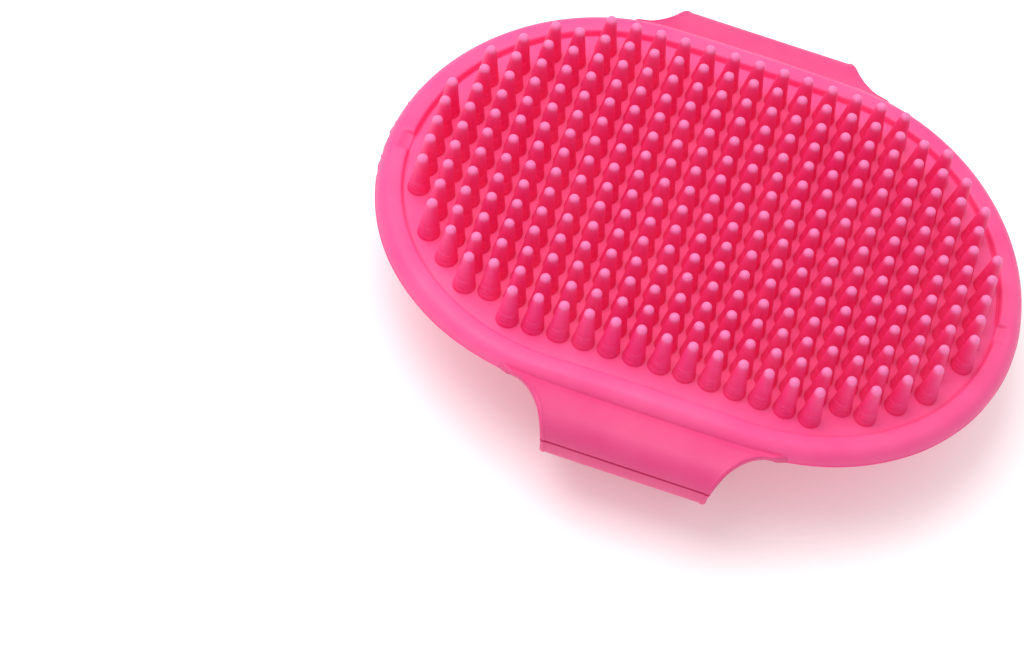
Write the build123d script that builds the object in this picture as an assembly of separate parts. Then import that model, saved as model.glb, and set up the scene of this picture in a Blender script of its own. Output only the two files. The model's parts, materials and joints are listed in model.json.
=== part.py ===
"""Oval rubber curry brush with an adjustable hand strap, standing pins up on its strap."""
from build123d import *
import math
import os

# Everything is in millimetres. +X runs along the oval, +Y across it and +Z up through the pins.
# The origin is on the surface that the brush stands on, under the middle of the pad.

# Pad
pad_straight = 37.0        # straight length of the oval's two long sides
pad_width = 92.0           # across the oval, outside the rim
rim_width = 5.2
arch_radius = 440.0        # the pad is arched lengthwise, its ends drooping
face_height = 26.0         # top of the pad's face, at the middle, above the standing surface
plate_thickness = 2.2
rim_crown = 1.0            # how far the rim stands above the face
rim_lip = 0.6              # how far the rim hangs below the plate
rim_outer_round = 2.2
rim_inner_round = 0.8
notch_width = 3.0          # small step in the rim's inner edge, at each end of the oval
notch_depth = 1.4
slab_overhang = 1.2        # length of the arch before it is trimmed, as a share of the pad's

# Pins
pin_pitch = 5.0
pin_field_radius = 38.0    # a pin stands where its centre is this near the oval's centre line
pin_height = 10.0
pin_base_radius = 2.2
pin_tip_radius = 1.05
pin_lean = 0.5             # a pin leans by this share of the arch's slope under it
pin_rooting = 0.5          # extra length below the face, trimmed off along it
rows_each_side = 7
pins_each_side = 11

# Strap
strap_thickness = 1.4
strap_width = 33.0
root_width = 51.0          # where the strap leaves the rim
strap_reach = 54.2         # from the middle of the pad to the middle line of the strap's side
waist_width = 0.45         # the root's hollow side is drawn in to this share of its flare,
waist_reach = 0.38         # at this share of its length
root_drop = 1.2            # from the pad's face down to the root's middle line
shoulder_radius = 6.0
side_radius = 9.0
side_lean = 50.0           # degrees that the strap's side leans in from upright
foot_radius = 10.0
bend_gap = 0.3             # clearance at each line where the strap bends
tongue_line = 32.0         # from the middle to the line where each strap end bends away
stud_strap_end = 20.0      # how far past the middle the stud strap reaches
hole_strap_end = 2.0       # how far past the middle the hole strap reaches
lap_gap = 0.3              # between the two strap ends where they lap
step_start = 21.0          # where the hole strap begins to step down to the standing surface
step_end = 27.0
step_radius = 4.0
tip_round = 6.0

# Studs and holes
stud_spacing = 16.0        # across the strap
stud_row = 9.0             # from the middle, on the hole strap's side
hole_pitch = 6.5           # between rows of holes
hole_radius = 2.3
stem_radius = 2.0
head_radius = 3.3
head_height = 1.5
head_edge = 0.4            # upright part of the head's side
head_gap = 0.25            # between a stud's head and the hole strap

# Worked out from those
half_width = pad_width / 2
half_strap = strap_thickness / 2
arch_centre = face_height - arch_radius
root_line = face_height - root_drop
side_line = root_line - shoulder_radius          # height where the strap's side is upright
side_corner = side_line - side_radius * math.tan(math.radians(side_lean / 2))
foot_corner = strap_reach - (side_corner - half_strap) * math.tan(math.radians(side_lean))
lap_line = half_strap + strap_thickness + lap_gap
knuckle_gap = half_strap + bend_gap
tall = 3 * face_height                           # taller than anything here, for cutting


def arch_point(radius, angle):
    """A point of the lengthwise arch, as X and Z."""
    return (radius * math.sin(angle), arch_centre + radius * math.cos(angle))


def arched_slab(low, high):
    """A wide slab that follows the arch, from low to high above the pad's face."""
    reach = math.asin(slab_overhang * (pad_straight + pad_width) / 2 / arch_radius)
    top = ThreePointArc(*[arch_point(arch_radius + high, a) for a in (-reach, 0, reach)])
    base = ThreePointArc(*[arch_point(arch_radius + low, a) for a in (reach, 0, -reach)])
    section = make_face([top, Line(top @ 1, base @ 0), base, Line(base @ 1, top @ 0)])
    return extrude(Plane.XZ * section, pad_width, both=True)


def oval_prism(inset):
    """An upright prism of the oval, inset from its outline."""
    return extrude(SlotCenterToCenter(pad_straight, pad_width - 2 * inset), tall)


def base_plate():
    """The arched web that carries the pins."""
    return arched_slab(-plate_thickness, 0) & oval_prism(rim_width)


def rim_bead():
    """The thick rounded rim round the plate, with a notch in its inner edge at each end."""
    ring = oval_prism(0) - oval_prism(rim_width)
    rim = ring & arched_slab(-plate_thickness - rim_lip, rim_crown)
    crown = max(rim.faces(), key=lambda f: f.center().Z)
    outer = crown.outer_wire().edges()
    rim = fillet(outer, rim_outer_round)
    crown = max(rim.faces(), key=lambda f: f.center().Z)
    inner = crown.inner_wires()[0].edges()
    rim = fillet(inner, rim_inner_round)
    inner_end = (pad_straight + pad_width) / 2 - rim_width
    floor_at_end = arch_centre + math.sqrt(arch_radius**2 - inner_end**2)
    for side in (-1, 1):
        notch = Box(2 * notch_depth, notch_width, tall, align=(Align.CENTER, Align.CENTER, Align.MIN))
        rim -= Pos(side * inner_end, 0, floor_at_end) * notch
    return rim


def pin():
    """One blunt tapered pin, rooted below the origin, with a domed tip that its sides run smoothly into."""
    dome_height = pin_height - pin_tip_radius
    span = math.hypot(pin_base_radius, dome_height)
    taper = math.acos(pin_tip_radius / span) - math.atan2(dome_height, pin_base_radius)
    dome_edge = (pin_tip_radius * math.cos(taper), dome_height + pin_tip_radius * math.sin(taper))
    root = (pin_base_radius + pin_rooting * math.tan(taper), -pin_rooting)
    dome = RadiusArc(dome_edge, (0, pin_height), -pin_tip_radius)
    outline = make_face([Line(root, dome_edge), dome, Polyline((0, pin_height), (0, -pin_rooting), root)])
    return revolve(Plane.XZ * outline, Axis.Z)


def column_pin(column):
    """The pin of one column, on the arch, trimmed flush with the face."""
    angle = column * pin_pitch / arch_radius
    x, z = arch_point(arch_radius, angle)
    upright = Location((x, 0, z), (0, math.degrees(pin_lean * angle), 0))
    face = Plane(origin=(x, 0, z), x_dir=(0, 1, 0), z_dir=(math.sin(angle), 0, math.cos(angle)))
    return split(upright * pin(), bisect_by=face, keep=Keep.TOP)


def pin_row(row, column_pins):
    """One row of pins along the pad."""
    y = row * pin_pitch
    pins = []
    for column, shape in column_pins.items():
        past_straight = max(abs(column) * pin_pitch - pad_straight / 2, 0)
        if math.hypot(past_straight, y) <= pin_field_radius:
            pins.append(Pos(0, y, 0) * shape)
    return Compound(children=pins)


def offset_line(corners, radii, side):
    """The strap's surface beside its middle line: side is +1 outside the loop, -1 inside it."""
    points = [Vector(*c) for c in corners]
    shift = side * half_strap
    moved = []
    new_radii = []
    for i, point in enumerate(points):
        before = (point - points[i - 1]).normalized() if i else None
        after = (points[i + 1] - point).normalized() if i + 1 < len(points) else None
        before = before or after
        after = after or before
        normal_sum = Vector(-before.Y - after.Y, before.X + after.X)
        mitre = normal_sum * (2 / normal_sum.dot(normal_sum))
        moved.append(point + mitre * shift)
        if 0 < i < len(points) - 1:
            turn = before.X * after.Y - before.Y * after.X
            new_radii.append(radii[i - 1] - shift * math.copysign(1, turn))
    return FilletPolyline(*moved, radius=new_radii)


def strap_section(corners, radii):
    """The strap's section, of even thickness, along its middle line. X is outwards, Y is up."""
    outside = offset_line(corners, radii, 1)
    inside = offset_line(corners, radii, -1)
    ends = [Line(outside @ 1, inside @ 1), Line(inside @ 0, outside @ 0)]
    return make_face([outside, ends[0], inside, ends[1]])


def loop_corners():
    """The middle line's corners from inside the rim, out, down and in to the standing surface."""
    return [
        (half_width - rim_width, root_line),
        (strap_reach, root_line),
        (strap_reach, side_corner),
        (foot_corner, half_strap),
    ]


loop_radii = [shoulder_radius, side_radius, foot_radius]


def stud_strap_section():
    """The stud strap lies flat on the standing surface to its end."""
    return strap_section(loop_corners() + [(-stud_strap_end, half_strap)], loop_radii)


def hole_strap_section():
    """The hole strap steps up and laps over the stud strap."""
    lap = [(step_end, half_strap), (step_start, lap_line), (-hole_strap_end, lap_line)]
    return strap_section(loop_corners() + lap, loop_radii + [step_radius, step_radius])


def part_of(section, x_low, x_high, y_low, y_high):
    """The piece of a section inside a rectangle."""
    middle = Pos((x_low + x_high) / 2, (y_low + y_high) / 2)
    return section & (middle * Rectangle(x_high - x_low, y_high - y_low))


def widen(section, width):
    """A solid of the given width across the strap. The section's X becomes +Y."""
    return extrude(Plane.YZ * section, width / 2, both=True)


def knuckle(out, up):
    """The rounded edge that a piece of strap bends about."""
    return Pos(out, up) * Circle(half_strap)


def root_envelope():
    """The root's plan: wide at the rim, drawn in by a hollow curve on each side."""
    start = half_width - rim_width
    end = strap_reach + strap_thickness
    wide = root_width / 2
    slim = strap_width / 2
    near_rim = (wide, half_width)
    waist = (slim + waist_width * (wide - slim), half_width + waist_reach * (end - half_width))
    right = ThreePointArc(near_rim, waist, (slim, end))
    left = ThreePointArc((-slim, end), (-waist[0], waist[1]), (-wide, half_width))
    base = Polyline(left @ 1, (-wide, start), (wide, start), right @ 0)
    return extrude(make_face([right, Line(right @ 1, left @ 0), left, base]), tall)


def strap_root(section):
    """The flared shoulder from under the rim to the strap's upright side."""
    shoulder = part_of(section, 0, tall, side_line + knuckle_gap, tall)
    return (widen(shoulder, root_width) & root_envelope()) - oval_prism(0)


def strap_bend(section):
    """The strap's side and foot, between its two bend lines."""
    bend = part_of(section, tongue_line + knuckle_gap, tall, -1, side_line)
    return widen(bend + knuckle(strap_reach, side_line), strap_width)


def strap_tongue(section):
    """The strap's free end, with rounded corners at its tip."""
    flat = part_of(section, -tall, tongue_line, -1, side_corner)
    tongue = widen(flat + knuckle(tongue_line, half_strap), strap_width)
    corners = tongue.edges().filter_by(Axis.Z).group_by(Axis.Y)[0]
    return fillet(corners, tip_round)


def stud_hole_rows():
    """Distances from the middle to each row of holes."""
    return [stud_row + n * hole_pitch for n in (-1, 0, 1)]


def hole_tongue():
    """The hole strap's free end, with two lines of round holes."""
    tongue = strap_tongue(hole_strap_section())
    for y in stud_hole_rows():
        for x in (-stud_spacing / 2, stud_spacing / 2):
            tongue -= Pos(x, y, 0) * Cylinder(hole_radius, tall)
    return tongue


def stud():
    """One stud with a rounded head, standing on the stud strap."""
    foot = strap_thickness
    neck = lap_line + half_strap + head_gap
    round_over = head_height - head_edge
    outline = make_face([
        Polyline((0, foot), (stem_radius, foot), (stem_radius, neck), (head_radius, neck),
                 (head_radius, neck + head_edge)),
        RadiusArc((head_radius, neck + head_edge),
                  (head_radius - round_over, neck + head_height), -round_over),
        Polyline((head_radius - round_over, neck + head_height), (0, neck + head_height), (0, foot)),
    ])
    return revolve(Plane.XZ * outline, Axis.Z)


def strap_studs():
    """The two studs side by side."""
    return Compound(children=[Pos(x, stud_row, 0) * stud() for x in (-stud_spacing / 2, stud_spacing / 2)])


def to_front(shape):
    """The same strap piece on the pad's front (-Y) side."""
    return mirror(shape, Plane.XZ)


parts = {
    "base_plate": base_plate(),
    "rim_bead": rim_bead(),
    "front_strap_root": to_front(strap_root(stud_strap_section())),
    "front_strap_bend": to_front(strap_bend(stud_strap_section())),
    "stud_tongue": to_front(strap_tongue(stud_strap_section())),
    "strap_studs": strap_studs(),
    "back_strap_root": strap_root(hole_strap_section()),
    "back_strap_bend": strap_bend(hole_strap_section()),
    "hole_tongue": hole_tongue(),
}
pins_by_column = {column: column_pin(column) for column in range(-pins_each_side, pins_each_side + 1)}
for number in range(2 * rows_each_side + 1):
    parts[f"pin_row_{number + 1:02d}"] = pin_row(number - rows_each_side, pins_by_column)

os.makedirs("parts", exist_ok=True)
for name, shape in parts.items():
    export_step(shape, f"parts/{name}.step")
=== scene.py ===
"""The looks of the oval rubber curry brush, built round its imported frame."""
import json
import math
import random

import bmesh
import bpy
from mathutils import Matrix, Vector, noise

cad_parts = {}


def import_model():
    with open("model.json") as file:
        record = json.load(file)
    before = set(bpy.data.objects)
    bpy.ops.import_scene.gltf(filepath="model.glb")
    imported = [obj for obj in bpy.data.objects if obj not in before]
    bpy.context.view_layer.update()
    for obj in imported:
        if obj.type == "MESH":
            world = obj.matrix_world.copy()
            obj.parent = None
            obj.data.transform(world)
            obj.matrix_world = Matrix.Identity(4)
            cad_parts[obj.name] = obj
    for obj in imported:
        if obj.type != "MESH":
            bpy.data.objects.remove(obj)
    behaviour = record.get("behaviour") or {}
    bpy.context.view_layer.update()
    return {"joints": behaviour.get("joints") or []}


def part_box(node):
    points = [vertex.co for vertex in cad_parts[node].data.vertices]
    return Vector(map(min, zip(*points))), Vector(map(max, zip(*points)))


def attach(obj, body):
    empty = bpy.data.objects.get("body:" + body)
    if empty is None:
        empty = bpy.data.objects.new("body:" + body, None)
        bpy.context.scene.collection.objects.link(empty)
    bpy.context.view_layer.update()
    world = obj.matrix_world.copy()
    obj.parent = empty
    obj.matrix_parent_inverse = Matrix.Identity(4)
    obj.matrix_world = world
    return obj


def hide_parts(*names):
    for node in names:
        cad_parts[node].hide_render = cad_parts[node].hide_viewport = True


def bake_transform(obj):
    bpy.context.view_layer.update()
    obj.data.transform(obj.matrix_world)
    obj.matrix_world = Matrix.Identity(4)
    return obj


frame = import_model()

MM = 0.001
joints = {joint["name"]: joint for joint in frame["joints"]}

# ---- The pad's shape, from the frame and a few dimensions of its own ----
PLATE_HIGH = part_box("base_plate")[1]
RIM_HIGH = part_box("rim_bead")[1]
ARCH_RADIUS = 440 * MM
HALF_STRAIGHT = 18.5 * MM
FACE_Z = PLATE_HIGH.z                          # the pad's face, at the middle
INNER_RADIUS = PLATE_HIGH.y                    # of the rim's inner line, at the oval's ends
RIM_WIDTH = RIM_HIGH.y - PLATE_HIGH.y
OUTER_RADIUS = INNER_RADIUS + RIM_WIDTH
PLATE_THICKNESS = 2.2 * MM
PLATE_TUCK = 0.2 * MM                          # how far the web goes in under the rim
NOTCH_HALF = 2.0 * MM                          # half the notch's width
NOTCH_DEPTH = 2.6 * MM                         # from the rim's inner line, outwards
NOTCH_SHARE = 0.85                             # of the rim's height that is gone at its inner line
NOTCH_EDGE = 0.5 * MM                          # over which the notch's sides fall
GROOVE_DEPTH = 0.6 * MM                        # of the crease inside the rim, on the back half
GROOVE_FRONT_SHARE = 0.35                      # of that depth, on the front half
GROOVE_RAMP = 1.5 * MM                         # over which it deepens, just behind the notch
PATH_STEP = 0.9 * MM                           # between stations round the oval

# ---- The pins ----
PIN_PITCH = 5 * MM
PIN_FIELD_RADIUS = 38 * MM
ROWS_EACH_SIDE = 7
PINS_EACH_SIDE = 11
PIN_SEGMENTS = 28
PIN_HEIGHT = 10 * MM
PIN_BASE_RADIUS = 2.2 * MM
PIN_TIP_RADIUS = 1.05 * MM
PIN_LEAN = 0.5                                 # share of the arch's slope that a pin leans by
RING_HEIGHTS = [1.1 * MM, 2.0 * MM, 3.1 * MM]  # faint moulding rings round each pin
RING_STEP = 0.085 * MM
TIP_HIGHLIGHT_START = 8.5 * MM                           # painted highlight: the domes are painted paler from here up, where overhead light falls on them
TIP_HIGHLIGHT_FADE = 0.9 * MM
PIN_LEAN_JITTER = 0.6                          # degrees either way
PIN_SIZE_JITTER = 0.008

# ---- The strap ----
STRAP_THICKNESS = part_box("stud_tongue")[1].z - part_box("stud_tongue")[0].z
STRAP_HALF_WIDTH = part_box("stud_tongue")[1].x
FLARE = 10 * MM                                # how far each side of the root spreads at the rim
FLARE_LENGTH = 14 * MM                         # from the rim, along the strap
FLARE_POWER = 1.8                              # 2 would be a quarter of an ellipse
FLARE_UNDER = 1.75                             # widening on each side for each mm inside the rim
BORDER_FADE = 3 * MM                           # the raised border fades out above the floor over this
STRAP_REACH = -joints["front_strap_open"]["pos_m"][1]
SIDE_Z = joints["front_strap_open"]["pos_m"][2]      # where the strap's side is upright
ROOT_Z = FACE_Z - 1.2 * MM                     # middle line of the front strap where it leaves the rim
BACK_ROOT_DROP = 1 * MM                        # the back strap leaves it this much lower
ROOT_SLOPE = math.radians(15)                  # both already slope down there
ROOT_HIDDEN = 1.5 * MM                         # how far the strap goes on inside the rim
ROOT_DIP = 0.35 * MM                           # and how much lower it ends there
ROOT_BEND_IN = 0.2 * MM                        # where that dip starts, inside the rim
ROOT_BEND_RADIUS = 0.5 * MM
SIDE_RADIUS = 9 * MM
FOOT_RADIUS = 10 * MM
SIDE_LEAN = math.radians(50)
STEP_RADIUS = 4 * MM
STEP_START = 21 * MM
STEP_END = 27 * MM
STUD_STRAP_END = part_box("stud_tongue")[1].y
HOLE_STRAP_END = -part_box("hole_tongue")[0].y
LAP_GAP = 0.3 * MM
TIP_ROUND = 6 * MM                             # radius of the corners at each end
STRAP_STEP = 0.5 * MM                          # between sections along the strap
NO_LENGTH = 0.01 * MM                          # two arcs that meet have no straight run between them
STUD_SPACING = 16 * MM
STUD_ROW = 9 * MM
HOLE_PITCH = 6.5 * MM
HOLE_RADIUS = 2.3 * MM
HOLE_EASE = 0.25 * MM                          # rounding of the holes' edges
STEM_RADIUS = 2.0 * MM
HEAD_HEIGHT = 1.5 * MM


# ---------------------------------------------------------------- materials
ROUGHNESS = 0.5


def rubber(name, colour, grain=1.0, painted_tip_highlight=False, glow=0.1):
    """Satin moulded rubber with soft mottling and fine grain. glow is its subsurface weight. For the pins
    it can also paint a paler highlight on their domes, where overhead light falls.
    """
    material = bpy.data.materials.new(name)
    material.use_nodes = True
    nodes, links = material.node_tree.nodes, material.node_tree.links
    shader = nodes["Principled BSDF"]
    where = nodes.new("ShaderNodeTexCoord")

    def noise_node(size, detail):
        node = nodes.new("ShaderNodeTexNoise")
        node.inputs["Scale"].default_value = 1 / size
        node.inputs["Detail"].default_value = detail
        links.new(where.outputs["Object"], node.inputs["Vector"])
        return node

    def ramp(source, low, high):
        node = nodes.new("ShaderNodeMapRange")
        node.inputs["From Min"].default_value = 0.3
        node.inputs["From Max"].default_value = 0.7
        node.inputs["To Min"].default_value = low
        node.inputs["To Max"].default_value = high
        links.new(source, node.inputs["Value"])
        return node.outputs["Result"]

    mottle = noise_node(14 * MM, 3)
    grain_noise = noise_node(0.35 * MM, 2)
    tint = nodes.new("ShaderNodeHueSaturation")
    tint.inputs["Color"].default_value = (*colour, 1)
    links.new(ramp(mottle.outputs["Fac"], 0.975, 1.025), tint.inputs["Value"])
    links.new(ramp(mottle.outputs["Fac"], 1.02, 0.98), tint.inputs["Saturation"])
    result = tint.outputs["Color"]
    # painted highlight: the pins' domes are mixed towards a paler pink where overhead light falls on their
    # tops
    if painted_tip_highlight:
        tip_highlight = nodes.new("ShaderNodeAttribute")
        tip_highlight.attribute_name = "tip_highlight"
        mix = nodes.new("ShaderNodeMix")
        mix.data_type = "RGBA"
        mix.inputs["B"].default_value = (*TIP_HIGHLIGHT_PINK, 1)
        links.new(result, mix.inputs["A"])
        links.new(tip_highlight.outputs["Fac"], mix.inputs["Factor"])
        result = mix.outputs["Result"]
    links.new(result, shader.inputs["Base Color"])
    rough = ramp(grain_noise.outputs["Fac"], ROUGHNESS - 0.04, ROUGHNESS + 0.05)
    links.new(rough, shader.inputs["Roughness"])
    bump = nodes.new("ShaderNodeBump")
    bump.inputs["Strength"].default_value = 0.25 * grain
    bump.inputs["Distance"].default_value = 0.02 * MM
    links.new(grain_noise.outputs["Fac"], bump.inputs["Height"])
    links.new(bump.outputs["Normal"], shader.inputs["Normal"])
    shader.inputs["Specular IOR Level"].default_value = 0.45
    shader.inputs["Subsurface Weight"].default_value = glow
    shader.inputs["Subsurface Radius"].default_value = (1.0, 0.3, 0.45)
    shader.inputs["Subsurface Scale"].default_value = 0.8 * MM
    return material


PINK = (0.95, 0.085, 0.295)
PIN_PINK = (0.95, 0.05, 0.235)
# painted highlight: a paler pink for the pins' domes, where overhead light falls on them
TIP_HIGHLIGHT_PINK = (0.95, 0.20, 0.46)
STRAP_PINK = (0.78, 0.06, 0.225)
pad_rubber = rubber("pad_rubber", PINK)
pin_rubber = rubber("pin_rubber", PIN_PINK, grain=0.6, painted_tip_highlight=True, glow=0.35)
strap_rubber = rubber("strap_rubber", STRAP_PINK, grain=1.3)


def plain_floor():
    """White, with a little light of its own so that it stays white round the brush."""
    material = bpy.data.materials.new("floor_white")
    material.use_nodes = True
    shader = material.node_tree.nodes["Principled BSDF"]
    shader.inputs["Base Color"].default_value = (0.93, 0.93, 0.93, 1)
    shader.inputs["Roughness"].default_value = 0.6
    shader.inputs["Emission Color"].default_value = (1, 1, 1, 1)
    shader.inputs["Emission Strength"].default_value = 0.2
    return material


# ---------------------------------------------------------------- mesh helpers
def clamp(value, low=0.0, high=1.0):
    return max(low, min(high, value))


def piece(name, points, faces, material, body, slot, *nodes, smooth_angle=40):
    """A finished piece from points and faces, which stands for the CAD nodes named."""
    mesh = bpy.data.meshes.new(name)
    mesh.from_pydata([tuple(p) for p in points], [], faces)
    tidy = bmesh.new()
    tidy.from_mesh(mesh)
    bmesh.ops.recalc_face_normals(tidy, faces=tidy.faces)
    tidy.to_mesh(mesh)
    tidy.free()
    mesh.materials.append(material)
    obj = bpy.data.objects.new(name, mesh)
    bpy.context.scene.collection.objects.link(obj)
    shade(obj, smooth_angle)
    if body:
        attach(obj, body)
    if nodes:
        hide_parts(*nodes)
    return obj


def shade(obj, angle):
    """Smooth shading, with edges sharper than the angle kept crisp."""
    mesh = obj.data
    mesh.shade_smooth()
    mesh.set_sharp_from_angle(angle=math.radians(angle))


def tube_faces(rings, around, closed_along=False):
    """Quads between rings of points, each ring closed round."""
    faces = []
    for i in range(rings if closed_along else rings - 1):
        a, b = i * around, (i + 1) % rings * around
        faces += [(a + j, a + (j + 1) % around, b + (j + 1) % around, b + j) for j in range(around)]
    return faces


def turned(profile, segments, x, y, z=0.0):
    """Rings of points round an upright axis, from a profile of radii and heights."""
    turns = [2 * math.pi * k / segments for k in range(segments)]
    return [(x + radius * math.cos(turn), y + radius * math.sin(turn), z + height)
            for radius, height in profile for turn in turns]


def smooth_curve(points, steps):
    """A Catmull-Rom curve through points, open, with steps spans between each two."""
    ends = [points[0]] + list(points) + [points[-1]]
    out = []
    for a, b, c, d in zip(ends, ends[1:], ends[2:], ends[3:]):
        for k in range(steps):
            t = k / steps
            out.append(tuple(
                0.5 * (2 * q + (r - p) * t
                       + (2 * p - 5 * q + 4 * r - s) * t**2
                       + (3 * q - p - 3 * r + s) * t**3)
                for p, q, r, s in zip(a, b, c, d)))
    return out + [tuple(points[-1])]


# ---------------------------------------------------------------- the pad
def on_arch(x, y, height):
    """A point at a height above the pad's arched face."""
    angle = math.asin(x / ARCH_RADIUS)
    radius = ARCH_RADIUS + height
    return Vector((radius * math.sin(angle), y, FACE_Z - ARCH_RADIUS + radius * math.cos(angle)))


def oval_stations():
    """Places round the oval: the nearest point of its centre line, and the way outwards."""
    straight_steps = round(2 * HALF_STRAIGHT / PATH_STEP)
    arc_steps = round(math.pi * OUTER_RADIUS / PATH_STEP)
    notch = [math.asin(y / OUTER_RADIUS) for y in (NOTCH_HALF, NOTCH_HALF + NOTCH_EDGE)]
    turns = sorted({k * math.pi / arc_steps - math.pi / 2 for k in range(arc_steps)}
                   | {side * angle for angle in notch for side in (-1, 1)})
    stations = []
    for side in (1, -1):
        for turn in turns:
            angle = turn if side > 0 else turn + math.pi
            stations.append((side * HALF_STRAIGHT, math.cos(angle), math.sin(angle)))
        for k in range(straight_steps):
            x = side * HALF_STRAIGHT * (1 - 2 * k / straight_steps)
            stations.append((x, 0.0, float(side)))
    return stations


STATIONS = oval_stations()


def ragged_flash(x, y):
    """How much of the parting line's thin flash is left, as a share: ragged at the -X end."""
    here = Vector((x, y, 0))
    end = clamp((-x - 40 * MM) / (12 * MM)) * clamp((y + 12 * MM) / (12 * MM))
    bits = noise.noise(here / (1.1 * MM)) + 0.7 * noise.noise(here / (0.5 * MM))
    even = 0.8 + 0.3 * noise.noise(here / (9 * MM))
    return even + end * clamp(2.4 * bits, -0.8, 1.3)


def groove_depth(out_y):
    """How deep the crease inside the rim is here: full on the back half, slight at the front."""
    back = clamp((out_y * INNER_RADIUS - NOTCH_HALF) / GROOVE_RAMP)
    return GROOVE_DEPTH * (GROOVE_FRONT_SHARE + (1 - GROOVE_FRONT_SHARE) * back)


def rim_bead():
    """The rounded rim, swept round the oval, with its notches and the flash at its parting line."""
    top = [(-0.15, -0.1), (0.0, 0.0), (0.07, 0.3), (0.17, 0.68), (0.42, 0.93), (1.0, 1.02), (2.0, 1.04),
           (3.0, 0.92), (3.8, 0.52), (4.5, -0.12), (4.95, -0.85), (5.15, -1.45), (5.18, -1.8)]
    flash = [(5.22, -1.9), (5.38, -1.95), (5.38, -2.01), (5.22, -2.06)]
    under = [(5.15, -2.16), (5.0, -2.5), (4.6, -2.76), (3.6, -2.8), (1.4, -2.8), (0.5, -2.72),
             (0.1, -2.45), (-0.1, -2.1)]
    profile = smooth_curve(top, 2) + flash + smooth_curve(under, 2)
    points = []
    for x, out_x, out_y in STATIONS:
        for across, height in profile:
            u = across * MM
            h = height * MM
            y_here = out_y * OUTER_RADIUS
            side = clamp((NOTCH_HALF + NOTCH_EDGE - abs(y_here)) / NOTCH_EDGE)
            at_inner_foot = u < 0.1 * MM and -0.2 * MM < h < 0.1 * MM
            if at_inner_foot:
                h -= groove_depth(out_y)
            if h > 0 and u < NOTCH_DEPTH:
                h *= 1 - NOTCH_SHARE * side * (1 - (u / NOTCH_DEPTH) ** 2)
            if u > RIM_WIDTH:
                u = RIM_WIDTH + (u - RIM_WIDTH) * ragged_flash(x + out_x * OUTER_RADIUS, y_here)
            radius = INNER_RADIUS + u
            points.append(on_arch(x + out_x * radius, out_y * radius, h))
    faces = tube_faces(len(STATIONS), len(profile), closed_along=True)
    piece("rim", points, faces, pad_rubber, "pad", "pad_rubber", "rim_bead", smooth_angle=60)


def base_plate():
    """The web between the pins, just under the rim's inner edge all round."""
    reach = INNER_RADIUS + PLATE_TUCK
    crease = [(0.0, 1.0), (0.35 * MM, 0.9), (0.55 * MM, 0.35), (0.85 * MM, 0.05)]
    rings = 12
    radii = [reach - inset for inset, _ in crease]
    radii += [max(reach * (1 - k / rings), 0.02 * MM) for k in range(1, rings + 1)]
    dips = [dip for _, dip in crease] + [0.0] * rings
    points = []
    for x, out_x, out_y in STATIONS:
        depth = groove_depth(out_y)
        for radius, dip in zip(radii, dips):
            points.append(on_arch(x + out_x * radius, out_y * radius, -dip * depth))
        for radius in reversed(radii):
            points.append(on_arch(x + out_x * radius, out_y * radius, -PLATE_THICKNESS))
    faces = tube_faces(len(STATIONS), 2 * len(radii), closed_along=True)
    piece("web", points, faces, pad_rubber, "pad", "pad_rubber", "base_plate", smooth_angle=30)


# ---------------------------------------------------------------- the pins
def pin_profile():
    """Radius and height up a pin: a soft foot, a taper with moulding rings, and a dome, with no corner."""
    dome_height = PIN_HEIGHT - PIN_TIP_RADIUS
    span = math.hypot(PIN_BASE_RADIUS, dome_height)
    taper = math.acos(PIN_TIP_RADIUS / span) - math.atan2(dome_height, PIN_BASE_RADIUS)

    def radius_at(height):
        return PIN_BASE_RADIUS - height * math.tan(taper)

    foot = [(PIN_BASE_RADIUS + 0.05 * MM, -0.3 * MM), (PIN_BASE_RADIUS + 0.05 * MM, 0.1 * MM),
            (PIN_BASE_RADIUS + 0.02 * MM, 0.35 * MM)]
    rings = []
    for height in RING_HEIGHTS:
        rings.append((radius_at(height) + RING_STEP / 2, height - 0.05 * MM))
        rings.append((radius_at(height) - RING_STEP / 2, height + 0.03 * MM))
        rings.append((radius_at(height + 0.4 * MM), height + 0.4 * MM))
    upper = [(radius_at(height), height) for height in (4.6 * MM, 6 * MM, 7.4 * MM, 8.6 * MM)]
    turns = [taper + (math.radians(84) - taper) * k / 6 for k in range(7)]
    dome = [(PIN_TIP_RADIUS * math.cos(a), dome_height + PIN_TIP_RADIUS * math.sin(a)) for a in turns]
    return foot + rings + upper + dome


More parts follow.
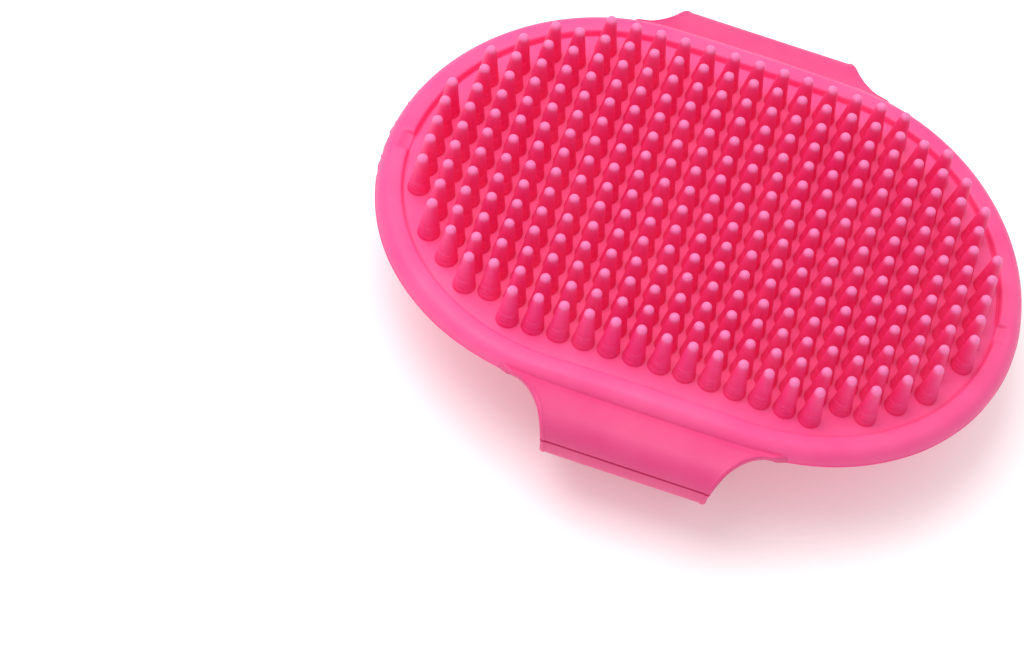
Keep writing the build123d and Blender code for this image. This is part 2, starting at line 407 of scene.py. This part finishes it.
def pin_row(row):
    """One row of pins, as one piece."""
    profile = pin_profile()
    draw = random.Random(row)
    points, faces, tip_highlights = [], [], []
    y = row * PIN_PITCH
    for column in range(-PINS_EACH_SIDE, PINS_EACH_SIDE + 1):
        past = max(abs(column) * PIN_PITCH - HALF_STRAIGHT, 0)
        if math.hypot(past, y) > PIN_FIELD_RADIUS:
            continue
        angle = column * PIN_PITCH / ARCH_RADIUS
        lean_x, lean_y = (math.radians(draw.uniform(-PIN_LEAN_JITTER, PIN_LEAN_JITTER)) for _ in range(2))
        size = 1 + draw.uniform(-PIN_SIZE_JITTER, 0)
        place = Matrix.Translation(on_arch(ARCH_RADIUS * math.sin(angle), y, 0))
        place = place @ Matrix.Rotation(PIN_LEAN * angle + lean_y, 4, "Y") @ Matrix.Rotation(lean_x, 4, "X")
        first = len(points)
        for radius, z in profile:
            for k in range(PIN_SEGMENTS):
                turn = 2 * math.pi * k / PIN_SEGMENTS
                points.append(place @ Vector((radius * math.cos(turn), radius * math.sin(turn), z * size)))
                # each point's share of the painted highlight on the domes: none below, full at the top
                tip_highlights.append(clamp((z - TIP_HIGHLIGHT_START) / TIP_HIGHLIGHT_FADE))
        faces += [tuple(first + i for i in f) for f in tube_faces(len(profile), PIN_SEGMENTS)]
        last_ring = first + (len(profile) - 1) * PIN_SEGMENTS
        points.append(place @ Vector((0, 0, PIN_HEIGHT * size)))
        tip_highlights.append(1.0)
        apex = len(points) - 1
        faces += [(last_ring + k, last_ring + (k + 1) % PIN_SEGMENTS, apex) for k in range(PIN_SEGMENTS)]
        faces.append(tuple(first + k for k in reversed(range(PIN_SEGMENTS))))
    number = row + ROWS_EACH_SIDE + 1
    obj = piece(f"pins_{number:02d}", points, faces, pin_rubber, "pad", "pin_rubber",
                f"pin_row_{number:02d}", smooth_angle=50)
    obj.data.attributes.new("tip_highlight", "FLOAT", "POINT").data.foreach_set("value", tip_highlights)


# ---------------------------------------------------------------- the strap
def rounded_path(corners, radii):
    """Points and directions along straight runs joined by tangent arcs. A point is (outwards, up)."""
    points = [Vector(c) for c in corners]
    path = []

    def run(a, b):
        along = b - a
        if along.length < NO_LENGTH:
            return
        count = max(1, round(along.length / STRAP_STEP))
        path.extend((a + along * k / count, along.normalized()) for k in range(count))

    start = points[0]
    for i in range(1, len(points) - 1):
        before = (points[i] - points[i - 1]).normalized()
        after = (points[i + 1] - points[i]).normalized()
        turn = math.atan2(before.x * after.y - before.y * after.x, before.dot(after))
        reach = radii[i - 1] * math.tan(abs(turn) / 2)
        run(start, points[i] - before * reach)
        normal = Vector((-before.y, before.x)) * math.copysign(1, turn)
        centre = points[i] - before * reach + normal * radii[i - 1]
        count = max(3, round(abs(turn) * radii[i - 1] / STRAP_STEP))
        for k in range(count):
            bend = turn * k / count
            spoke = -normal * radii[i - 1]
            spoke.rotate(Matrix.Rotation(bend, 2))
            heading = before.copy()
            heading.rotate(Matrix.Rotation(bend, 2))
            path.append((centre + spoke, heading))
        start = points[i] + after * reach
    run(start, points[-1])
    path.append((points[-1], (points[-1] - start).normalized()))
    return path


def strap_path(lapped):
    """The whole middle line of one side of the strap, from inside the rim to its end."""
    half = STRAP_THICKNESS / 2
    root_z = ROOT_Z - BACK_ROOT_DROP if lapped else ROOT_Z
    shoulder_z = root_z - (STRAP_REACH - OUTER_RADIUS) * math.tan(ROOT_SLOPE)
    shoulder_radius = (shoulder_z - SIDE_Z) / math.tan(math.pi / 4 - ROOT_SLOPE / 2)
    corner_z = SIDE_Z - SIDE_RADIUS * math.tan(SIDE_LEAN / 2)
    foot_y = STRAP_REACH - (corner_z - half) * math.tan(SIDE_LEAN)
    corners = [(OUTER_RADIUS - ROOT_HIDDEN, root_z - ROOT_DIP),
               (OUTER_RADIUS - ROOT_BEND_IN, root_z), (STRAP_REACH, shoulder_z),
               (STRAP_REACH, corner_z), (foot_y, half)]
    radii = [ROOT_BEND_RADIUS, shoulder_radius, SIDE_RADIUS, FOOT_RADIUS]
    if lapped:
        lap_z = half + STRAP_THICKNESS + LAP_GAP
        corners += [(STEP_END, half), (STEP_START, lap_z), (-HOLE_STRAP_END, lap_z)]
        radii += [STEP_RADIUS, STEP_RADIUS]
    else:
        corners += [(-STUD_STRAP_END, half)]
    return rounded_path(corners, radii)


def half_width(along):
    """Half the strap's width, a distance along it from the rim: a hollow curve from wide to slim."""
    t = clamp(1 - along / FLARE_LENGTH)
    under_rim = max(0.0, -along) * FLARE_UNDER
    return STRAP_HALF_WIDTH + FLARE * (1 - (1 - t**FLARE_POWER) ** (1 / FLARE_POWER)) + under_rim


def strap_edge(half, border):
    """One long edge in section, from the outer face round to the inner one, as distance in from the edge
    and height: a slight raised border, then a rounded side."""
    return [(1.3 * MM, half), (1.1 * MM, half + 0.05 * border), (0.95 * MM, half + 0.13 * border),
            (0.6 * MM, half + 0.16 * border), (0.25 * MM, half + 0.02 * border),
            (0.07 * MM, half - 0.16 * MM), (0, half - 0.4 * MM), (0, -half + 0.3 * MM),
            (0.1 * MM, -half + 0.08 * MM), (0.35 * MM, -half)]


def strap_sections(path, side, end_out):
    """Rings of points along the strap. side is -1 for the front, 1 for the back."""
    rings = []
    before = path[0][0]
    along = before.x - OUTER_RADIUS
    for point, heading in path:
        along += (point - before).length
        before = point
        width = half_width(along)
        from_tip = point.x - end_out
        if along > FLARE_LENGTH and from_tip < TIP_ROUND:
            width -= TIP_ROUND - math.sqrt(max(TIP_ROUND**2 - (TIP_ROUND - from_tip) ** 2, 0))
        border = MM * clamp((point.y - STRAP_THICKNESS) / BORDER_FADE)
        edge = strap_edge(STRAP_THICKNESS / 2, border)
        section = [(1, inset, lift) for inset, lift in edge]
        section += [(-1, inset, lift) for inset, lift in reversed(edge)]
        arching = 0.0
        if point.y > SIDE_Z:
            arching = clamp((STRAP_REACH - point.x) / (STRAP_REACH - OUTER_RADIUS)) ** 2
        normal = Vector((-heading.y, heading.x))
        ring = []
        for across, inset, lift in section:
            x = across * (width - inset)
            p = point + normal * lift
            drop = arching * (ARCH_RADIUS - math.sqrt(ARCH_RADIUS**2 - x**2))
            ring.append(Vector((x, side * p.x, p.y - drop)))
        rings.append(ring)
    return rings


def strap_piece(name, rings, material, slot, nodes):
    around = len(rings[0])
    points = [p for ring in rings for p in ring]
    faces = tube_faces(len(rings), around)
    faces.append(tuple(reversed(range(around))))
    faces.append(tuple(range((len(rings) - 1) * around, len(rings) * around)))
    return piece(name, points, faces, material, None, slot, *nodes, smooth_angle=35)


def cut_holes(obj):
    """Round holes with eased edges, in two lines across the hole strap's end."""
    half = STRAP_THICKNESS / 2
    middle = STRAP_THICKNESS + LAP_GAP + half
    edge = [(3, 2), (1, 0), (0.3, -0.6), (0, -1.4)]      # outwards and away from the strap, in eases
    profile = [(HOLE_RADIUS + out * HOLE_EASE, -half - away * HOLE_EASE) for out, away in edge]
    profile += [(HOLE_RADIUS + out * HOLE_EASE, half + away * HOLE_EASE) for out, away in reversed(edge)]
    segments = 32
    points, faces = [], []
    for row in (-1, 0, 1):
        for x in (-STUD_SPACING / 2, STUD_SPACING / 2):
            first = len(points)
            points += turned(profile, segments, x, STUD_ROW + row * HOLE_PITCH, middle)
            faces += [tuple(first + i for i in f) for f in tube_faces(len(profile), segments)]
            faces.append(tuple(first + k for k in reversed(range(segments))))
            faces.append(tuple(first + (len(profile) - 1) * segments + k for k in range(segments)))
    mesh = bpy.data.meshes.new("hole_cutter")
    mesh.from_pydata(points, [], faces)
    cutter = bpy.data.objects.new("hole_cutter", mesh)
    bpy.context.scene.collection.objects.link(cutter)
    cut = obj.modifiers.new("holes", "BOOLEAN")
    cut.operation = "DIFFERENCE"
    cut.solver = "EXACT"
    cut.object = cutter
    graph = bpy.context.evaluated_depsgraph_get()
    obj.data = bpy.data.meshes.new_from_object(obj.evaluated_get(graph))
    obj.modifiers.clear()
    bpy.data.objects.remove(cutter)
    shade(obj, 35)


def strap_side(side, prefix, lapped, nodes):
    """One side of the strap, in two pieces that meet in the straight part of its side."""
    path = strap_path(lapped)
    end_out = -HOLE_STRAP_END if lapped else -STUD_STRAP_END
    rings = strap_sections(path, side, end_out)
    seam_z = SIDE_Z / 2
    seam = next(i for i, (point, _) in enumerate(path) if point.y < seam_z)
    upper = strap_piece(f"{prefix}_strap", rings[:seam + 1], strap_rubber, "strap_rubber", nodes[:2])
    lower = strap_piece(f"{prefix}_strap_end", rings[seam:], strap_rubber, "strap_rubber", nodes[2:])
    if lapped:
        cut_holes(lower)
    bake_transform(upper)
    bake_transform(lower)


def studs():
    """The two studs with rounded heads."""
    low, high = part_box("strap_studs")
    head = (high.y - low.y) / 2
    neck = high.z - HEAD_HEIGHT
    foot_edge = [(0.5, -0.1), (0.12, 0.15), (0, 0.5)]                # out from the stem, and up, in mm
    head_edge = [(0.35, 0), (0.08, 0.1), (0, 0.4), (0.12, 0.75),     # in from the head's edge, and up
                 (0.55, 1.12), (1.4, 1.38), (2.4, 1.48)]
    profile = [(STEM_RADIUS + out * MM, low.z + up * MM) for out, up in foot_edge]
    profile.append((STEM_RADIUS, neck - 0.02 * MM))
    profile += [(head - inset * MM, neck + up * MM) for inset, up in head_edge]
    segments = 36
    points, faces = [], []
    for x in (-STUD_SPACING / 2, STUD_SPACING / 2):
        first = len(points)
        points += turned(profile, segments, x, STUD_ROW)
        faces += [tuple(first + i for i in f) for f in tube_faces(len(profile), segments)]
        faces.append(tuple(first + k for k in reversed(range(segments))))
        points.append((x, STUD_ROW, high.z))
        apex = len(points) - 1
        ring = first + (len(profile) - 1) * segments
        faces += [(ring + k, ring + (k + 1) % segments, apex) for k in range(segments)]
    piece("studs", points, faces, strap_rubber, "stud_end", "strap_rubber", "strap_studs",
          smooth_angle=60)


rim_bead()
base_plate()
for row in range(-ROWS_EACH_SIDE, ROWS_EACH_SIDE + 1):
    pin_row(row)
strap_side(-1, "front", False,
           ["front_strap_root", "front_strap_bend", "stud_tongue"])
strap_side(1, "back", True,
           ["back_strap_root", "back_strap_bend", "hole_tongue"])
studs()


# ---------------------------------------------------------------- stage, light and camera
def floor():
    half = 3.0
    mesh = bpy.data.meshes.new("floor")
    corners = [(-half, -half, 0), (half, -half, 0), (half, half, 0), (-half, half, 0)]
    mesh.from_pydata(corners, [], [(0, 1, 2, 3)])
    mesh.materials.append(plain_floor())
    obj = bpy.data.objects.new("floor", mesh)
    bpy.context.scene.collection.objects.link(obj)


SURROUND_SLOPE = (-0.08, 0.12, 0.5)            # how its strength grows along each axis
SURROUND_LEVEL = 0.42                          # its strength at the horizon, on average


def area_light(name, place, target, size, power):
    light = bpy.data.lights.new(name, "AREA")
    light.shape = "RECTANGLE"
    light.size, light.size_y = size
    light.energy = power
    obj = bpy.data.objects.new(name, light)
    obj.location = place
    obj.rotation_euler = (Vector(target) - Vector(place)).to_track_quat("-Z", "Y").to_euler()
    bpy.context.scene.collection.objects.link(obj)


def world():
    """A white surround, brighter overhead and to the back left."""
    made = bpy.data.worlds.new("studio")
    made.use_nodes = True
    background = made.node_tree.nodes["Background"]
    background.inputs["Color"].default_value = (1, 1, 1, 1)
    nodes, links = made.node_tree.nodes, made.node_tree.links
    where = nodes.new("ShaderNodeTexCoord")
    slope = nodes.new("ShaderNodeVectorMath")
    slope.operation = "DOT_PRODUCT"
    slope.inputs[1].default_value = SURROUND_SLOPE
    strength = nodes.new("ShaderNodeMath")
    strength.operation = "ADD"
    strength.inputs[1].default_value = SURROUND_LEVEL
    links.new(where.outputs["Generated"], slope.inputs[0])
    links.new(slope.outputs["Value"], strength.inputs[0])
    links.new(strength.outputs["Value"], background.inputs["Strength"])
    bpy.context.scene.world = made


def camera():
    """A long lens from the front and above, a little from the right, and rolled."""
    azimuth, elevation, roll = (math.radians(a) for a in (-4.18, 54.10, 14.89))
    distance = 882.9 * MM
    target = Vector((-28.17, -38.40, 26.0)) * MM
    level = math.cos(elevation)
    ahead = Vector((math.sin(azimuth) * level, math.cos(azimuth) * level, -math.sin(elevation)))
    data = bpy.data.cameras.new("camera")
    data.lens = 164.76
    data.sensor_width = 36
    data.clip_start, data.clip_end = 0.01, 20
    obj = bpy.data.objects.new("camera", data)
    obj.matrix_world = (Matrix.Translation(target - ahead * distance)
                        @ ahead.to_track_quat("-Z", "Y").to_matrix().to_4x4()
                        @ Matrix.Rotation(roll, 4, "Z"))
    bpy.context.scene.collection.objects.link(obj)
    bpy.context.scene.camera = obj


floor()
area_light("key", place=(-0.32, 0.05, 0.82), target=(0, 0, 0.02), size=(0.7, 0.7), power=4.6)
world()
camera()
bpy.context.scene.view_settings.view_transform = "Standard"
